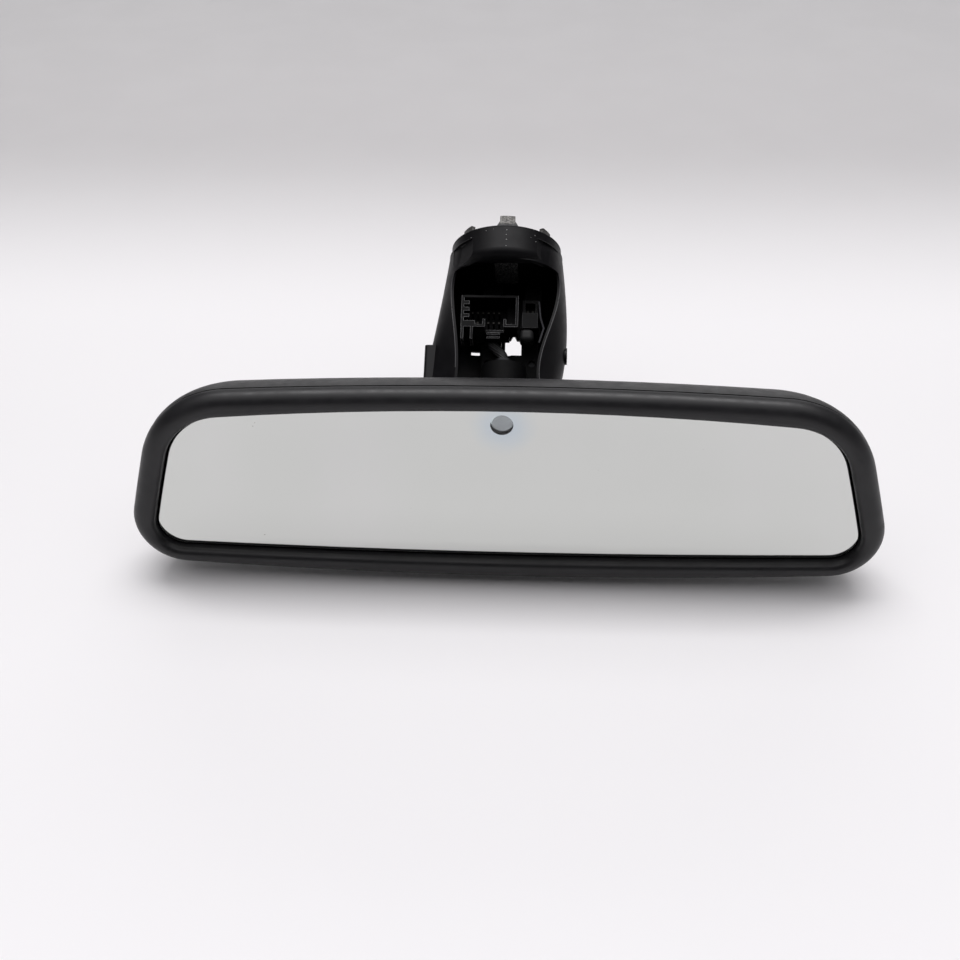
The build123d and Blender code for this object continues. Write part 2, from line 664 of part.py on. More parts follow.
def ball_stud():
    """Hollow steel stud with the ball that the head turns on."""
    stud = Pos(0, 0, 11.9) * Cylinder(STUD_R - 0.01, 23.8)
    ball = Sphere(BALL_R) - Pos(0, 0, -BALL_R) * Box(20, 20, 2.4)
    body = stud + ball
    body -= Pos(0, 0, 8) * Cylinder(BORE_R, 40)
    body -= Pos(0, 0, -BALL_R + 1.2) * Cone(3.8, BORE_R, 2.4)
    return Pos(0, BALL_BACK, -BALL_DROP) * body


def hood_screws():
    """Screws through the hood's back into the arm."""
    screws = []
    for x in HOOD_SCREW_X:
        head = rod((x, HOOD_BACK_Y + 0.1, HOOD_SCREW_Z), (x, HOOD_BACK_Y + 1.6, HOOD_SCREW_Z), 2.8)
        drive = rod((x, HOOD_BACK_Y + 0.8, HOOD_SCREW_Z), (x, HOOD_BACK_Y + 2, HOOD_SCREW_Z), 1.2)
        shank = rod((x, 10.0, HOOD_SCREW_Z), (x, HOOD_BACK_Y + 0.5, HOOD_SCREW_Z), 1.2)
        screws.append(head + shank - drive)
    return Compound(children=screws)


def main_socket():
    """Vehicle harness socket: keyed shroud with a latch gap and ribs under it."""
    (x0, x1), (z0, z1) = SOCKET_X, SOCKET_Z
    wall = SOCKET_WALL
    shroud = box((x0 - wall, x1 + wall), (SOCKET_FACE_Y, 3.0), (z0 - wall, z1 + wall))
    shroud += box((x0 - wall, 1.8), (2.0, SOCKET_BACK_Y), (z0 - wall, z1 + wall))
    cavity = box((x0, x1), (SOCKET_FACE_Y - 1, 2.0), (z0, z1))
    cavity += box((x0, 1.0), (1.0, SOCKET_FLOOR_Y), (z0, z1))
    shroud -= cavity
    shroud -= box((-6.6, 0.0), (SOCKET_FACE_Y - 1, -1.0), (z0 - 2, z0 + 1))
    shroud += box((x0 - 0.1, -10.2), (SOCKET_FACE_Y, 2.5), (z0 - 0.1, z0 + 1.4))
    for x in ((-7.4, -6.6), (0.0, 0.8)):
        shroud += box(x, (SOCKET_FACE_Y, 0.0), (z0 - wall, z0 + 2.0))
    for index in range(KEY_COUNT):
        z = z0 + 2.8 + index * KEY_PITCH
        shroud += box((x0 - 0.1, x0 + 1.9), (SOCKET_FACE_Y, 2.5), (z, z + 1.2))
    for x in (-14.9, -11.6):
        shroud += box((x, x + 0.8), (SOCKET_FACE_Y, 0.5), (z0 - wall - 4.6, z0 - wall + 0.1))
    for z in (-33.0, -34.4):
        shroud += box((-6.0, -1.4), (-1.0, 2.2), (z, z + 0.7))
    shroud += box((-6.0, -1.4), (1.6, 2.8), (-34.4, z0 - wall + 0.1))
    for x in ((-14.0, -10.6), (-7.6, -1.8), (0.4, 3.6)):
        shroud += box(x, (SOCKET_FACE_Y + 1.6, -1.0), (z1 + wall - 0.1, z1 + wall + 0.9))
    return shroud


def main_pins():
    """Two rows of square pins in the socket's floor."""
    pins = []
    for row in (-24.2, -28.0):
        for index in range(PIN_COUNT):
            x = -11.4 + index * PIN_PITCH
            pins.append(box((x - 0.3, x + 0.3), (0.2, SOCKET_FLOOR_Y - 0.02),
                            (row - 0.3, row + 0.3)))
    return Compound(children=pins)


def aux_socket():
    """Small socket for the aerial lead, beside the main one."""
    body = box((6.5, 11.9), (-4.0, 7.0), (-31.6, -26.0))
    body += box((6.5, 11.9), (-0.6, 7.0), (-26.1, -19.6))
    body -= box((7.3, 11.1), (-8, 4.0), (-25.4, -20.4))
    return body


def aux_pins():
    """The aerial socket's two contacts."""
    return Compound(children=[
        box((x - 0.35, x + 0.35), (1.4, 3.98), (-23.3, -22.5)) for x in (8.3, 10.1)])


def lead_boot():
    """Soft moulded boot where the lead leaves the small socket."""
    boot = box((5.7, 10.6), (-4.0, 3.0), (-36.4, -31.62))
    return fillet(boot.edges(), 1.7)


def socket_clip():
    """Thin spring clip that holds the small socket against the hood's side."""
    line = Plane.XZ * make_face(Polyline(
        (12.0, -20.6), (12.5, -20.6), (13.2, -27.0), (14.4, -31.0), (12.8, -36.6), (12.3, -36.4),
        (13.8, -31.0), (12.7, -27.4), (12.0, -20.6)))
    return Pos(0, 2.0, 0) * extrude(line, 4.5, both=True) & box((10, 18), (-3.2, 6.5), (-40, -19))


def ceiling_pad():
    """Rough damping felt stuck under the arm's ring."""
    return box((-3.9, 4.4), (-10.2, 8.4), (ARM_UNDER_Z - PAD_T, ARM_UNDER_Z - 0.02))


def side_cover():
    """Cover block on the hood's left flank."""
    block = box((-28.3, -22.0), (3.0, 13.0), (-50.0, -35.6))
    block = fillet(block.edges().filter_by(Axis.Z), 1.2)
    return block - hood_loft() - hood_loft(-0.05)


def side_pin():
    """Round latch boss on the hood's right flank."""
    boss = rod((18.0, 8.0, -37.2), (22.6, 8.0, -37.2), 3.0)
    return boss - hood_loft(-0.05)


def foot_harness():
    """Sheathed wires from under the main socket down into the ball's stud."""
    route = [(-4.2, BALL_BACK, SOCKET_Z[0] - SOCKET_WALL - 0.02), (-4.2, BALL_BACK, -34.6),
             (0, BALL_BACK, -39.0), (0, BALL_BACK, -58.0)]
    path = FilletPolyline(*route, radius=[2.6, 4.0])
    return sweep(Plane(origin=route[0], z_dir=(0, 0, -1)) * Circle(HARNESS_R), path)


HEAD_PARTS = {
    "bezel": bezel, "rear_shell": rear_shell, "glass_front": glass_front,
    "gel_layer": gel_layer, "gel_seal": gel_seal, "glass_rear": glass_rear,
    "sensor_window": sensor_window, "foam_backing": foam_backing,
    "carrier_plate": carrier_plate, "main_board": main_board, "board_chips": board_chips,
    "board_header": board_header, "harness_plug": harness_plug, "board_screws": board_screws,
    "glare_sensor": glare_sensor, "ambient_sensor": ambient_sensor,
    "ambient_lens": ambient_lens,
}
JOINT_PARTS = {
    "ball_cup_liner": ball_cup_liner, "tension_spring": tension_spring,
    "socket_housing": socket_housing, "socket_cap": socket_cap,
    "socket_screws": socket_screws, "head_harness": head_harness,
}
MOUNT_PARTS = {
    "claw_plate": claw_plate, "seat_ring": seat_ring, "plate_screws": plate_screws,
    "foot_hood": foot_hood, "foot_arm": foot_arm, "ball_stud": ball_stud,
    "hood_screws": hood_screws, "main_socket": main_socket, "main_pins": main_pins,
    "aux_socket": aux_socket, "aux_pins": aux_pins, "lead_boot": lead_boot,
    "socket_clip": socket_clip, "ceiling_pad": ceiling_pad, "side_cover": side_cover,
    "side_pin": side_pin, "foot_harness": foot_harness,
}

for parts, place in ((HEAD_PARTS, HEAD_PLACE), (JOINT_PARTS, JOINT_PLACE),
                     (MOUNT_PARTS, MOUNT_PLACE)):
    for name, make in parts.items():
        save(name, make(), place)
save("bus_clip_upper", bus_clip(BUS_Z[1], -3.4, BUS_GAP), HEAD_PLACE)
save("bus_clip_lower", bus_clip(BUS_Z[0], 3.4, 0.0), HEAD_PLACE)
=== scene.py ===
"""Looks of the interior rearview mirror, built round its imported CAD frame.

Metres, in the part's frame: +X to the driver's right, +Y forward, +Z up. The mount has axes of its
own, with z out along the claws and -y to its open side. The head has a second set, beside the
ball's centre, with z up the glass and -y out of it.
"""

import bpy
import bmesh
import json
import random
from math import cos, pi, radians, sin, tan
from mathutils import Matrix, Vector, noise


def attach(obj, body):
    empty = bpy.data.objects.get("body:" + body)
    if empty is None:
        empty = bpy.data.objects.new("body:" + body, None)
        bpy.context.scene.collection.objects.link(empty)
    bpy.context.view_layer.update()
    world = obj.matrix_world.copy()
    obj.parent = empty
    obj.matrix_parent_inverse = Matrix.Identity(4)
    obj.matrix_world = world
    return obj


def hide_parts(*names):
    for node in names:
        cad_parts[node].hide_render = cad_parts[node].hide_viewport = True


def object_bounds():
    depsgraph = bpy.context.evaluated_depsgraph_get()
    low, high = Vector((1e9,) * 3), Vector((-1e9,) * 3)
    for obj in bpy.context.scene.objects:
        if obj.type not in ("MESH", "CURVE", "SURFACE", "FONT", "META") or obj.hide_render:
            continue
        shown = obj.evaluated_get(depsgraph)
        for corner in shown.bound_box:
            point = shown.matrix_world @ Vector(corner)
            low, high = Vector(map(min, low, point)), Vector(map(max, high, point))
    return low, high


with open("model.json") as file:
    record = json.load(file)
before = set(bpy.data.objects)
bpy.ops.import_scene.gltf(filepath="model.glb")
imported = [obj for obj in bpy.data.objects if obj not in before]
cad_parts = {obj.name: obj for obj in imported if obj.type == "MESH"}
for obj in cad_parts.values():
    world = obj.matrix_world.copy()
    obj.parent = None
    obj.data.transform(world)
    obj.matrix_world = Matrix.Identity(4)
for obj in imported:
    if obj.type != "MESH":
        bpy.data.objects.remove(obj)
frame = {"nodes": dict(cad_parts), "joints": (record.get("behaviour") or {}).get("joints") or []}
CAD_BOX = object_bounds()
NODES = frame["nodes"]
MM = 0.001

MOUNT_LEAN = radians(57.0)
HEAD_LEAN = radians(4.5)
HEAD_SHIFT = Vector((2 * MM, 0, 0))
BALL_AT = Vector(frame["joints"][0]["pos_m"])
MOUNT = Matrix.Rotation(-MOUNT_LEAN, 4, "X")
HEAD = Matrix.Translation(BALL_AT + HEAD_SHIFT) @ Matrix.Rotation(-HEAD_LEAN, 4, "X")
MOUNT_BACK = MOUNT.inverted()
HEAD_BACK = HEAD.inverted()

# Head axes: the pane's front and the reflector behind it, and the sensor's window
GLASS_FRONT = -34.0 * MM
REFLECTOR_AT = -31.5 * MM
WINDOW_Z = 21.0 * MM
WINDOW_R = 3.7 * MM

# The film on the pane's front, and how far its hole stands from the window's own centre
FILM_LIFT = 0.008 * MM
HOLE_LEFT, HOLE_UP = 0.4 * MM, 0.75 * MM
HOLE_STEPS = 64

# Mount axes, in millimetres: the cap's radius, and the felt pad's corners
CAP_R = 19.6
PAD_LOW, PAD_HIGH = Vector((-3.9, -10.2, -8.95)), Vector((4.4, 8.4, -7.78))

FLOOR_GAP = 3.5 * MM    # from the table up to the object's lowest point
FLOOR_HALF = 4.0

# ---- Camera and studio ------------------------------------------------------------------------

VIEW_FROM = Vector((0.0162, -0.4025, 0.2250))
VIEW_YAW = radians(-3.945)
VIEW_DOWN = radians(39.49)
VIEW_ROLL = radians(-1.31)
VIEW_ANGLE = radians(42.01)


def add_camera():
    """The camera, from in front and above."""
    data = bpy.data.cameras.new("view")
    data.sensor_width = 36.0
    data.lens = data.sensor_width / 2 / tan(VIEW_ANGLE / 2)
    camera = bpy.data.objects.new("view", data)
    bpy.context.scene.collection.objects.link(camera)
    turn = (Matrix.Rotation(-VIEW_YAW, 4, "Z") @ Matrix.Rotation(pi / 2 - VIEW_DOWN, 4, "X")
            @ Matrix.Rotation(VIEW_ROLL, 4, "Z"))
    camera.matrix_world = Matrix.Translation(VIEW_FROM) @ turn
    data.clip_start, data.clip_end = 0.01, 20.0
    bpy.context.scene.camera = camera


def add_area(name, at, towards, size, power, colour):
    """A rectangular soft light."""
    data = bpy.data.lights.new(name, "AREA")
    data.shape = "RECTANGLE"
    data.size, data.size_y = size
    data.energy = power
    data.color = colour
    light = bpy.data.objects.new(name, data)
    bpy.context.scene.collection.objects.link(light)
    light.location = at
    light.rotation_euler = (Vector(towards) - Vector(at)).to_track_quat("-Z", "Y").to_euler()


# ---- Material building --------------------------------------------------------------------------

class Surface:
    """A procedural material: a Principled shader and the nodes that feed it."""

    def __init__(self, name, colour, roughness, metallic=0.0, **constants):
        self.material = bpy.data.materials.new(name)
        self.material.use_nodes = True
        self.tree = self.material.node_tree
        self.shader = self.tree.nodes["Principled BSDF"]
        self.shader.inputs["Base Color"].default_value = (*colour, 1.0)
        self.shader.inputs["Roughness"].default_value = roughness
        self.shader.inputs["Metallic"].default_value = metallic
        for key, value in constants.items():
            self.shader.inputs[key.replace("_", " ")].default_value = value
        self.place = self.node("ShaderNodeTexCoord").outputs["Object"]
        self.height = None

    def node(self, kind, **settings):
        made = self.tree.nodes.new(kind)
        for key, value in settings.items():
            setattr(made, key, value)
        return made

    def put(self, socket, value):
        """Set a socket to a number or link it to another socket."""
        if isinstance(value, bpy.types.NodeSocket):
            self.tree.links.new(value, socket)
        else:
            socket.default_value = value

    def math(self, operation, *values, clamp=False):
        made = self.node("ShaderNodeMath", operation=operation, use_clamp=clamp)
        for socket, value in zip(made.inputs, values):
            self.put(socket, value)
        return made.outputs[0]

    def ramp(self, value, low, high, start=0.0, end=1.0):
        """value from low..high mapped smoothly to start..end."""
        made = self.node("ShaderNodeMapRange", interpolation_type="SMOOTHSTEP", clamp=True)
        for socket, given in zip(made.inputs, (value, low, high, start, end)):
            self.put(socket, given)
        return made.outputs[0]

    def along(self, direction):
        """How far a point lies along a direction, in metres."""
        made = self.node("ShaderNodeVectorMath", operation="DOT_PRODUCT")
        self.put(made.inputs[0], self.place)
        made.inputs[1].default_value = direction
        return made.outputs["Value"]

    def distance(self, point):
        """How far a surface point is from a given point, in metres, both as at rest."""
        made = self.node("ShaderNodeVectorMath", operation="DISTANCE")
        self.put(made.inputs[0], self.place)
        made.inputs[1].default_value = point
        return made.outputs["Value"]

    def cloud(self, scale, detail=4.0, rough=0.55, stretch=None):
        """Noise at a scale per metre."""
        made = self.node("ShaderNodeTexNoise")
        place = self.place
        if stretch:
            mapping = self.node("ShaderNodeMapping")
            self.put(mapping.inputs["Vector"], place)
            mapping.inputs["Scale"].default_value = stretch
            place = mapping.outputs[0]
        self.put(made.inputs["Vector"], place)
        made.inputs["Scale"].default_value = scale
        made.inputs["Detail"].default_value = detail
        made.inputs["Roughness"].default_value = rough
        return made.outputs["Fac"]

    def cells(self, scale, feature="F1"):
        made = self.node("ShaderNodeTexVoronoi", feature=feature)
        self.put(made.inputs["Vector"], self.place)
        made.inputs["Scale"].default_value = scale
        return made.outputs["Distance"]

    def mix(self, amount, a, b):
        made = self.node("ShaderNodeMix", data_type="RGBA")
        self.put(made.inputs[0], amount)
        for socket, colour in ((made.inputs[6], a), (made.inputs[7], b)):
            self.put(socket, (*colour, 1.0) if isinstance(colour, tuple) else colour)
        return made.outputs[2]

    def colour(self, value):
        self.put(self.shader.inputs["Base Color"], value)

    def roughness(self, value):
        self.put(self.shader.inputs["Roughness"], value)

    def bump(self, height, depth, strength=1.0):
        """Relief of a given depth in metres, on top of any before it."""
        made = self.node("ShaderNodeBump")
        made.inputs["Strength"].default_value = strength
        made.inputs["Distance"].default_value = depth
        self.put(made.inputs["Height"], height)
        if self.height:
            self.put(made.inputs["Normal"], self.height)
        self.height = made.outputs[0]
        self.put(self.shader.inputs["Normal"], self.height)


def moulded(name, colour, roughness, grain=5200.0, depth=0.018, wear=0.25, **constants):
    """Spark-eroded moulded plastic: fine even grain, faint mottling and handling sheen."""
    s = Surface(name, colour, roughness, **constants)
    light = tuple(c * (1.0 + wear) for c in colour)
    s.colour(s.mix(s.ramp(s.cloud(60.0, 3.0), 0.35, 0.7), colour, light))
    s.roughness(s.ramp(s.cloud(240.0, 5.0), 0.3, 0.75, roughness - 0.05, roughness + 0.07))
    s.bump(s.cloud(grain, 2.0, 0.7), depth * MM, 0.55)
    s.bump(s.cells(grain * 0.55), depth * MM, 0.25)
    return s


def metal(name, colour, roughness, brush=(1.0, 1.0, 14.0), tarnish=0.7):
    """Machined or plated metal with a fine directional finish and some tarnish."""
    s = Surface(name, colour, roughness, metallic=1.0)
    dull = tuple(c * tarnish for c in colour)
    s.colour(s.mix(s.ramp(s.cloud(420.0, 5.0), 0.35, 0.7), colour, dull))
    s.roughness(s.ramp(s.cloud(900.0, 5.0, 0.6, brush), 0.25, 0.75, roughness - 0.08,
                       roughness + 0.12))
    s.bump(s.cloud(2600.0, 3.0, 0.6, brush), 0.01 * MM, 0.4)
    return s


def assign(material, *names):
    """Give the named CAD nodes one material."""
    for name in names:
        target = NODES[name]
        target.data.materials.clear()
        target.data.materials.append(material)


# ---- Materials ----------------------------------------------------------------------------------

def mirror_face_material():
    """The silvering as it shows at the pane's front: bluish round the window, faintly smeared."""
    tint, wiped, blue = (0.650, 0.664, 0.640), (0.668, 0.676, 0.660), (0.56, 0.62, 0.66)
    s = Surface("mirror_face", tint, 0.012, metallic=1.0)
    smear = s.ramp(s.cloud(14.0, 3.0, 0.5, (1.0, 1.0, 0.35)), 0.4, 0.7)
    near = s.math("ADD", s.distance(HEAD @ Vector((0, GLASS_FRONT, WINDOW_Z))),
                  s.math("MULTIPLY", s.cloud(120.0), 4 * MM))
    s.colour(s.mix(s.ramp(near, 4 * MM, 14 * MM), blue, s.mix(smear, tint, wiped)))
    s.roughness(s.ramp(s.cloud(35.0, 4.0), 0.55, 0.9, 0.01, 0.03))
    return s.material


def pane_material():
    """Clear float glass with a faint green cast, and a silvery frosted edge."""
    clear, edge = (0.972, 0.986, 0.968), (0.60, 0.62, 0.60)
    s = Surface("front_pane", clear, 0.0, IOR=1.5)
    facing = s.node("ShaderNodeVectorMath", operation="DOT_PRODUCT")
    s.put(facing.inputs[0], s.node("ShaderNodeTexCoord").outputs["Normal"])
    facing.inputs[1].default_value = HEAD.to_3x3() @ Vector((0, -1, 0))
    flat = s.math("GREATER_THAN", s.math("ABSOLUTE", facing.outputs["Value"]), 0.9)
    s.put(s.shader.inputs["Transmission Weight"], flat)
    s.put(s.shader.inputs["Metallic"], s.math("SUBTRACT", 1.0, flat))
    s.colour(s.mix(flat, edge, clear))
    s.roughness(s.math("MULTIPLY_ADD", flat, -0.3, 0.3))
    return s.material


def mirror_material():
    """The reflector, which lies on the gel's side of the rear pane."""
    silver, blue = (0.735, 0.742, 0.720), (0.60, 0.68, 0.71)
    s = Surface("reflector", silver, 0.015, metallic=1.0)
    from_window = s.distance(HEAD @ Vector((0, REFLECTOR_AT, WINDOW_Z)))
    halo = s.ramp(s.math("ADD", from_window, s.math("MULTIPLY", s.cloud(120.0), 4 * MM)),
                  6 * MM, 15 * MM)
    s.colour(s.mix(halo, blue, silver))
    return s.material


def window_material():
    """Grey spot over the sensor, with painted shade in a crescent where its hole's side would
    show.
    """
    spot, shade = (0.31, 0.33, 0.355), (0.12, 0.14, 0.17)
    s = Surface("sensor_spot", spot, 0.22, metallic=1.0)
    # painted shade: the ring outside a circle shifted up and left stands in for the shaded side of
    # the hole
    raised = HEAD @ Vector((-0.25 * MM, REFLECTOR_AT, WINDOW_Z + 0.55 * MM))
    painted_hole_shade = s.ramp(s.distance(raised), WINDOW_R - 0.25 * MM, WINDOW_R)
    s.colour(s.mix(painted_hole_shade, spot, shade))
    s.roughness(s.ramp(s.cloud(260.0, 3.0), 0.3, 0.7, 0.20, 0.26))
    return s.material


def claw_material():
    """Black electrocoat, rubbed to bare steel on the upper parts of the claws."""
    coat = (0.012, 0.012, 0.013)
    s = Surface("claw_steel", coat, 0.4)
    out = s.along(tuple(MOUNT.to_3x3() @ Vector((0, 0, 1))))
    height = s.math("ADD", out, s.math("MULTIPLY", s.cloud(700.0, 5.0), 2.0 * MM))
    bare = s.ramp(height, 2.9 * MM, 3.9 * MM)
    scuffed = s.mix(s.ramp(s.cloud(1500.0, 6.0, 0.7), 0.4, 0.65), (0.06, 0.058, 0.056),
                    (0.20, 0.195, 0.185))
    s.colour(s.mix(bare, coat, scuffed))
    s.put(s.shader.inputs["Metallic"], s.math("MULTIPLY", bare, 0.75))
    s.roughness(s.ramp(s.cloud(1100.0, 5.0), 0.3, 0.7, 0.36, 0.6))
    s.bump(s.cloud(2200.0, 5.0, 0.7), 0.08 * MM, 0.9)
    return s.material


def felt_material():
    """Rough pressed fibre, black with grey strands."""
    s = Surface("felt", (0.03, 0.03, 0.03), 0.95)
    strands = s.cloud(2100.0, 8.0, 0.8, (1.0, 2.4, 1.0))
    s.colour(s.mix(s.ramp(strands, 0.46, 0.66), (0.012, 0.012, 0.0125), (0.42, 0.42, 0.41)))
    s.bump(s.cloud(1500.0, 8.0, 0.8), 0.4 * MM, 1.0)
    return s.material


def board_material():
    """Green solder mask over copper traces."""
    s = Surface("solder_mask", (0.01, 0.09, 0.04), 0.28)
    trace = s.ramp(s.cells(420.0, "DISTANCE_TO_EDGE"), 0.03, 0.06)
    s.colour(s.mix(trace, (0.03, 0.19, 0.075), (0.008, 0.075, 0.032)))
    s.bump(trace, 0.03 * MM, 0.4)
    return s.material


def foam_material():
    """Open-pored black foam."""
    s = Surface("foam", (0.05, 0.05, 0.053), 0.92)
    pores = s.cells(1700.0)
    s.colour(s.mix(s.ramp(pores, 0.1, 0.5), (0.015, 0.015, 0.016), (0.07, 0.07, 0.072)))
    s.bump(pores, 0.2 * MM, 0.8)
    return s.material


def sheath_material():
    """Braided sleeve over the wires."""
    s = Surface("braid", (0.02, 0.02, 0.021), 0.6)
    weave = s.node("ShaderNodeTexWave", wave_type="BANDS", bands_direction="DIAGONAL")
    s.put(weave.inputs["Vector"], s.place)
    weave.inputs["Scale"].default_value = 520.0
    weave.inputs["Distortion"].default_value = 1.5
    s.colour(s.mix(weave.outputs["Fac"], (0.008, 0.008, 0.009), (0.045, 0.045, 0.047)))
    s.bump(weave.outputs["Fac"], 0.15 * MM, 0.8)
    return s.material


def nylon_material():
    """Natural nylon, a little translucent."""
    return moulded("nylon", (0.62, 0.59, 0.51), 0.42, depth=0.01, wear=0.08,
                   Subsurface_Weight=0.1, Subsurface_Scale=0.002).material


def smoked_material():
    """Dark glossy lens."""
    s = Surface("smoked_lens", (0.02, 0.02, 0.024), 0.08, Coat_Weight=0.5)
    s.roughness(s.ramp(s.cloud(300.0, 4.0), 0.4, 0.8, 0.05, 0.16))
    return s.material


def floor_material():
    """Pale satin table, with painted shade: its colour darkens towards the object and softly to
    grey behind it.
    """
    front, near = (0.94, 0.93, 0.945), (0.83, 0.82, 0.83)
    middle, far = (0.49, 0.48, 0.485), (0.43, 0.425, 0.43)
    s = Surface("floor", near, 0.5, Specular_IOR_Level=0.25)
    # painted shade: the table's colour is lighter at the front and steps down to grey behind the
    # object
    split = s.node("ShaderNodeSeparateXYZ")
    s.put(split.inputs[0], s.place)
    y = split.outputs["Y"]
    pale = s.mix(s.ramp(y, -0.45, 0.05), front, near)
    grey = s.mix(s.ramp(y, 0.07, 0.28), pale, middle)
    s.colour(s.mix(s.ramp(y, 0.24, 0.6), grey, far))
    s.roughness(s.ramp(s.cloud(30.0, 3.0), 0.3, 0.7, 0.46, 0.54))
    return s.material


def add_floor():
    """The table, just below the object's lowest point."""
    level = CAD_BOX[0].z - FLOOR_GAP
    mesh = bpy.data.meshes.new("floor")
    half = FLOOR_HALF
    corners = [(-half, -half), (half, -half), (half, half), (-half, half)]
    mesh.from_pydata([(x, y, level) for x, y in corners], [], [(0, 1, 2, 3)])
    floor = bpy.data.objects.new("floor", mesh)
    bpy.context.scene.collection.objects.link(floor)
    mesh.materials.append(floor_material())


def add_world():
    """Faint fill from all round."""
    world = bpy.data.worlds.new("studio")
    world.use_nodes = True
    background = world.node_tree.nodes["Background"]
    background.inputs["Color"].default_value = (0.97, 0.96, 1.0, 1.0)
    background.inputs["Strength"].default_value = 0.05
    bpy.context.scene.world = world


# ---- Added pieces -------------------------------------------------------------------------------

def add_piece(name, mesh, material, body):
    """A mesh as a piece that moves with a body and has a material slot."""
    mesh.materials.clear()
    mesh.materials.append(material)
    piece = bpy.data.objects.new(name, mesh)
    bpy.context.scene.collection.objects.link(piece)
    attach(piece, body)
    return piece


def sharp_runs(node, back, wanted, sharp=radians(38)):
    """Polylines along the sharp convex edges of a node that pass a test.

    back turns the part's frame into local axes. wanted takes the middle of an edge, in local
    millimetres, and the normals of its two faces.
    """
    bm = bmesh.new()
    bm.from_mesh(NODES[node].data)
    bmesh.ops.remove_doubles(bm, verts=bm.verts, dist=1e-6)
    links = {}
    turn = back.to_3x3()
    for edge in bm.edges:
        if len(edge.link_faces) != 2 or edge.calc_face_angle_signed(0.0) < sharp:
            continue
        middle = back @ ((edge.verts[0].co + edge.verts[1].co) / 2)
        normals = [turn @ face.normal for face in edge.link_faces]
        if wanted(middle / MM, normals):
            a, b = edge.verts[0].index, edge.verts[1].index
            links.setdefault(a, set()).add(b)
            links.setdefault(b, set()).add(a)
    points = [v.co.copy() for v in bm.verts]
    bm.free()
    runs = []
    ends = [v for v in links if len(links[v]) != 2] + list(links)
    for start in ends:
        while links[start]:
            run = [start]
            while links[run[-1]]:
                ahead = min(links[run[-1]])
                links[run[-1]].discard(ahead)
                links[ahead].discard(run[-1])
                run.append(ahead)
                if len(links[ahead]) != 1:
                    break
            runs.append([points[v] for v in run])
    return runs


def bead(name, runs, radius, material, body, shortest=0.8 * MM):
    """A thin rounded edge laid along polylines."""
    curve = bpy.data.curves.new(name, "CURVE")
    curve.dimensions = "3D"
    curve.bevel_depth = radius
    curve.bevel_resolution = 2
    curve.use_fill_caps = True
    for run in runs:
        if sum((b - a).length for a, b in zip(run, run[1:])) < shortest:
            continue
        spline = curve.splines.new("POLY")
        spline.points.add(len(run) - 1)
        for point, place in zip(spline.points, run):
            point.co = (*place, 1.0)
    holder = bpy.data.objects.new(name + "_line", curve)
    mesh = bpy.data.meshes.new_from_object(holder)
    bpy.data.objects.remove(holder)
    mesh.name = name
    mesh.shade_smooth()
    add_piece(name, mesh, material, body)


def add_beads():
    """Rounded moulded edges of the hood and sockets; they catch the light as thin lines, and their
    lighter plastic adds a painted highlight.
    """
    # painted highlight: both edge plastics are lighter than the black plastic under them, on top
    # of their real gloss
    rim = moulded("polished_edge_painted_highlight", (0.05, 0.05, 0.053), 0.3, depth=0.004,
                  Specular_IOR_Level=0.8).material
    faint = moulded("dull_edge_painted_highlight", (0.016, 0.016, 0.017), 0.42, depth=0.006,
                    Specular_IOR_Level=0.4).material
    rims = sharp_runs("foot_hood", MOUNT_BACK, lambda p, n: (
        -9.0 < p.y < 1.5 and abs(p.x) > 11.0 and -53.8 < p.z < -11.5
        and max(side.x * p.x for side in n) > 0.35 * abs(p.x)))
    bead("hood_rim_edges", rims, 0.16 * MM, rim, "mount", 3 * MM)
    lips = sharp_runs("foot_hood", MOUNT_BACK, lambda p, n: p.z > -9.0 and p.xy.length > 17.0)
    bead("hood_cap_edges", lips, 0.12 * MM, faint, "mount", 3 * MM)
    shroud = sharp_runs("main_socket", MOUNT_BACK, lambda p, n: p.y < -0.8 and p.z < -21.5)
    bead("socket_shroud_edges", shroud, 0.09 * MM, rim, "mount", 0.7 * MM)
    small = sharp_runs("aux_socket", MOUNT_BACK, lambda p, n: p.y < 0.0)
    bead("aux_socket_edges", small, 0.09 * MM, faint, "mount")


def add_pad():
    """The felt pad on the cap's ceiling, torn and puckered, in its CAD block's place."""
    low, high = PAD_LOW, PAD_HIGH
    across, deep = 34, 68
    bm = bmesh.new()
    sheets = []
    for top in (False, True):
        sheet = []
        for j in range(deep + 1):
            for i in range(across + 1):
                u, v = i / across, j / deep
                x = low.x + (high.x - low.x) * u
                y = low.y + (high.y - low.y) * v
                edge = min(u, 1 - u, v, 1 - v)
                ragged = 0.28 * noise.noise(Vector((x * 1.3, y * 1.3, 4.0))) if edge < 0.01 else 0
                z = high.z
                if not top:
                    pucker = noise.fractal(Vector((x, y * 0.7, 1.0)) * 1.1, 0.9, 2.2, 4)
                    z = low.z + 0.3 + 0.32 * pucker + 0.5 * max(0.0, 0.06 - edge) / 0.06
                    z = max(low.z, z)
                sheet.append(bm.verts.new(MOUNT @ (Vector((x - ragged * (u - 0.5) * 2,
                                                           y - ragged * (v - 0.5) * 2, z)) * MM)))
        sheets.append(sheet)
    row = across + 1
    for j in range(deep):
        for i in range(across):
            a = j * row + i
            quad = (a, a + 1, a + 1 + row, a + row)
            bm.faces.new([sheets[1][k] for k in quad])
            bm.faces.new([sheets[0][k] for k in reversed(quad)])
    border = ([j * row for j in range(deep)] + [deep * row + i for i in range(across)]
              + [j * row + across for j in range(deep, 0, -1)] + list(range(across, 0, -1)))
    for a, b in zip(border, border[1:] + border[:1]):
        bm.faces.new((sheets[0][a], sheets[0][b], sheets[1][b], sheets[1][a]))
    bmesh.ops.recalc_face_normals(bm, faces=bm.faces)
    mesh = bpy.data.meshes.new("felt_pad")
    bm.to_mesh(mesh)
    bm.free()
    mesh.shade_smooth()
    pad = add_piece("felt_pad", mesh, felt_material(), "mount")
    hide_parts("ceiling_pad")


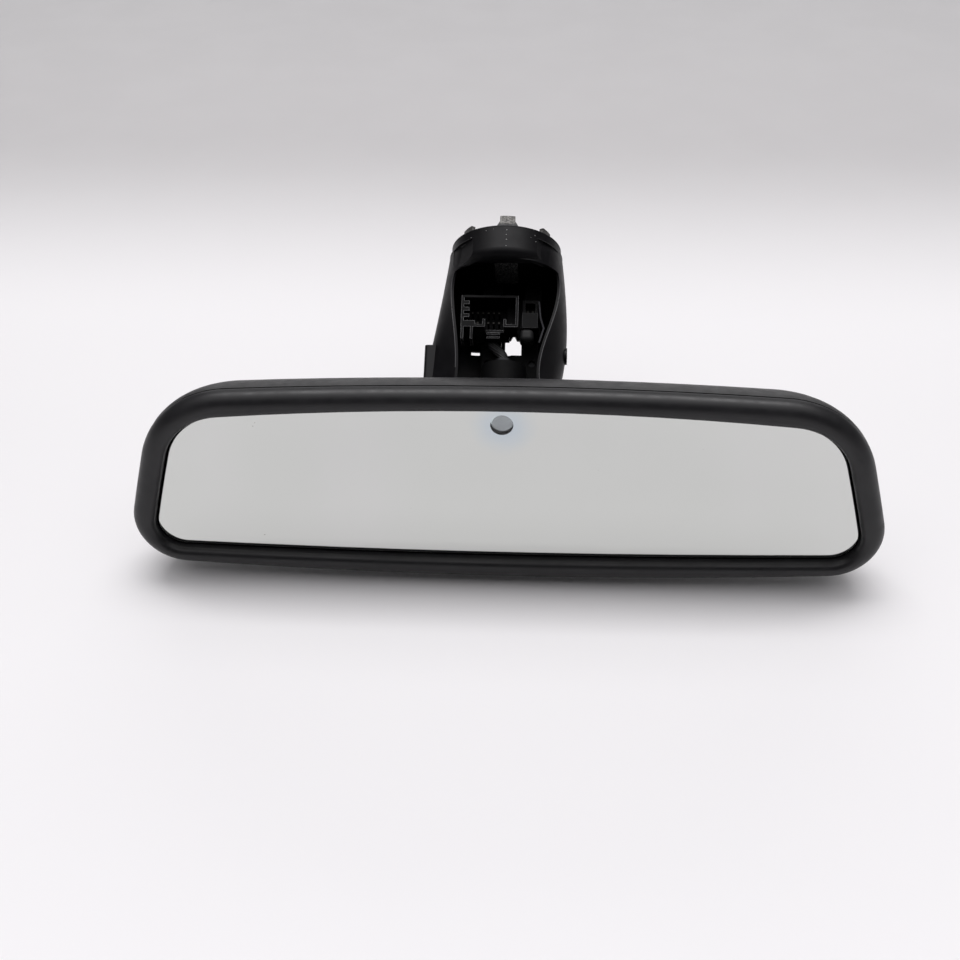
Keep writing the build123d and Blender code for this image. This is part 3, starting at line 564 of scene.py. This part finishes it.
def add_mirror_face():
    """The mirror as it is seen: a film over the pane's whole front, less the window."""
    front = GLASS_FRONT / MM + 0.1
    run = max(sharp_runs("glass_front", HEAD_BACK, lambda p, n: p.y < front), key=len)
    depth = GLASS_FRONT - FILM_LIFT
    outer = [HEAD_BACK @ place for place in run[:-1]]
    outer = [Vector((p.x, depth, p.z)) for p in outer]
    turns = [2 * pi * k / HOLE_STEPS for k in range(HOLE_STEPS)]
    hole = [Vector((WINDOW_R * cos(turn) - HOLE_LEFT, depth,
                    WINDOW_Z + WINDOW_R * sin(turn) + HOLE_UP)) for turn in turns]
    bm = bmesh.new()
    edges = []
    for loop in (outer, hole):
        verts = [bm.verts.new(HEAD @ p) for p in loop]
        edges += [bm.edges.new((verts[k - 1], verts[k])) for k in range(len(verts))]
    bmesh.ops.triangle_fill(bm, edges=edges, use_beauty=True, use_dissolve=False,
                            normal=HEAD.to_3x3() @ Vector((0, -1, 0)))
    bmesh.ops.recalc_face_normals(bm, faces=bm.faces)
    mesh = bpy.data.meshes.new("mirror_face")
    bm.to_mesh(mesh)
    bm.free()
    add_piece("mirror_face", mesh, mirror_face_material(), "head")


def flecks(name, places, material, body):
    """Specks: small flat irregular flakes at (point, normal, size), as dust and as painted glints.
    """
    draw = random.Random(name)
    bm = bmesh.new()
    for place, normal, size in places:
        made = bmesh.ops.create_icosphere(bm, subdivisions=1, radius=size)
        turn = normal.to_track_quat("Z", "Y").to_matrix().to_4x4()
        for vert in made["verts"]:
            vert.co *= draw.uniform(0.65, 1.25)
            vert.co.z *= 0.35
            vert.co.x *= 1.5
            vert.co = Matrix.Translation(place) @ turn @ vert.co
    mesh = bpy.data.meshes.new(name)
    bm.to_mesh(mesh)
    bm.free()
    mesh.shade_smooth()
    add_piece(name, mesh, material, body)


def add_flecks():
    """Dust on the glass; on the cap, pale flakes that are partly dust and partly painted
    highlights for glints on its mould line's nubs.
    """
    dark = moulded("dust_dark", (0.12, 0.11, 0.10), 0.9).material
    pale = moulded("dust_pale_and_glints", (0.40, 0.40, 0.39), 0.9).material
    out = (HEAD.to_3x3() @ Vector((0, -1, 0))).normalized()
    spots = [(-81.0, 19.6, 0.13), (-80.2, 20.9, 0.11), (-82.1, -24.6, 0.14), (97.0, -28.8, 0.16),
             (31.0, 5.0, 0.07), (-31.0, -12.0, 0.07), (64.0, 14.0, 0.08)]
    places = [(HEAD @ Vector((x * MM, GLASS_FRONT, z * MM)), out, size * MM)
              for x, z, size in spots]
    flecks("glass_dust", places, dark, "head")
    # painted highlight, partly: pale flakes on the cap, several in a row down its centre, stand in
    # for glints on the mould line's nubs
    draw = random.Random(7)
    places = []
    for x, z, size in [(0.6, -1.6, 0.16), (0.5, -3.3, 0.15), (0.6, -5.4, 0.2), (0.5, -7.6, 0.14),
                       (-6.6, -1.5, 0.13), (-12.0, -2.6, 0.12), (10.4, -2.0, 0.17),
                       (10.8, -4.4, 0.16), (9.0, -3.2, 0.1), (-4.0, -1.1, 0.08)]:
        y = -(CAP_R ** 2 - x ** 2) ** 0.5
        normal = MOUNT.to_3x3() @ Vector((x, y, 0)).normalized()
        jitter = draw.uniform(-0.2, 0.2)
        places.append((MOUNT @ (Vector((x, y, z + jitter)) * MM), normal, size * MM))
    flecks("hood_dust", places, pale, "mount")


# ---- The scene ----------------------------------------------------------------------------------

add_camera()
add_floor()
add_world()
add_area("dome", (0.0, -0.1, 2.4), (0, 0, 0), (4.6, 3.4), 50.0, (1.0, 0.985, 1.0))
add_area("overhead", (0.0, 0.45, 2.5), (0, 0, 0), (2.2, 0.7), 41.0, (1.0, 0.99, 1.0))
add_area("back_glow", (0.0, 2.2, 0.75), (0, 0, 0), (3.0, 1.3), 16.0, (1.0, 0.99, 1.0))
bpy.context.scene.view_settings.view_transform = "Standard"

DARK = (0.0040, 0.0038, 0.0046)
assign(moulded("bezel_plastic", (0.0095, 0.0092, 0.0105), 0.43, depth=0.012,
               Specular_IOR_Level=0.42).material, "bezel")
assign(moulded("shell_plastic", (0.0105, 0.0102, 0.0112), 0.46, grain=3800.0, depth=0.02,
               Specular_IOR_Level=0.45).material, "rear_shell")
assign(moulded("hood_plastic", DARK, 0.42, grain=4200.0, depth=0.012,
               Specular_IOR_Level=0.19).material, "foot_hood", "side_cover", "side_pin")
assign(pane_material(), "glass_front")
assign(mirror_material(), "gel_layer", "gel_seal", "glass_rear")
assign(window_material(), "sensor_window")
assign(claw_material(), "claw_plate")
# black plastic, made darker than the hood's: partly its own colour, partly painted shade for the
# sockets' cavities
assign(moulded("socket_black", (0.0022, 0.0022, 0.0025), 0.45, Specular_IOR_Level=0.08).material,
       "main_socket", "aux_socket")
assign(moulded("arm_zinc", (0.003, 0.003, 0.0033), 0.55, depth=0.05,
               Specular_IOR_Level=0.08).material, "foot_arm")
assign(moulded("soft_rubber", (0.007, 0.007, 0.0075), 0.6, grain=2600.0, depth=0.03,
               Specular_IOR_Level=0.3).material, "lead_boot", "seat_ring")
assign(moulded("carrier_plastic", (0.02, 0.02, 0.022), 0.55).material, "carrier_plate")
assign(moulded("joint_plastic", (0.014, 0.014, 0.015), 0.5).material,
       "socket_housing", "socket_cap")
assign(moulded("chip_epoxy", (0.018, 0.018, 0.019), 0.55).material,
       "board_chips", "ambient_sensor")
assign(moulded("acetal", (0.72, 0.71, 0.66), 0.38, depth=0.01, wear=0.05).material,
       "ball_cup_liner")
assign(metal("zinc_plate", (0.52, 0.52, 0.5), 0.32).material, "board_screws", "socket_screws")
assign(metal("black_zinc", (0.03, 0.03, 0.032), 0.42).material, "hood_screws", "plate_screws")
assign(metal("black_steel", (0.025, 0.025, 0.027), 0.38).material, "ball_stud")
assign(metal("blued_spring", (0.16, 0.17, 0.20), 0.3).material, "tension_spring")
assign(metal("dark_spring", (0.022, 0.022, 0.024), 0.4).material, "socket_clip")
# painted shade: the pins are near black, not tin-bright, for the shade inside the sockets
assign(metal("tinned_pins_painted_dark", (0.03, 0.029, 0.027), 0.5).material, "main_pins", "aux_pins")
assign(metal("tinned_copper", (0.66, 0.58, 0.46), 0.3).material, "bus_clip_upper",
       "bus_clip_lower")
assign(board_material(), "main_board", "glare_sensor")
assign(foam_material(), "foam_backing")
assign(sheath_material(), "foot_harness", "head_harness")
assign(nylon_material(), "board_header", "harness_plug")
assign(smoked_material(), "ambient_lens")

add_beads()
add_pad()
add_mirror_face()
add_flecks()
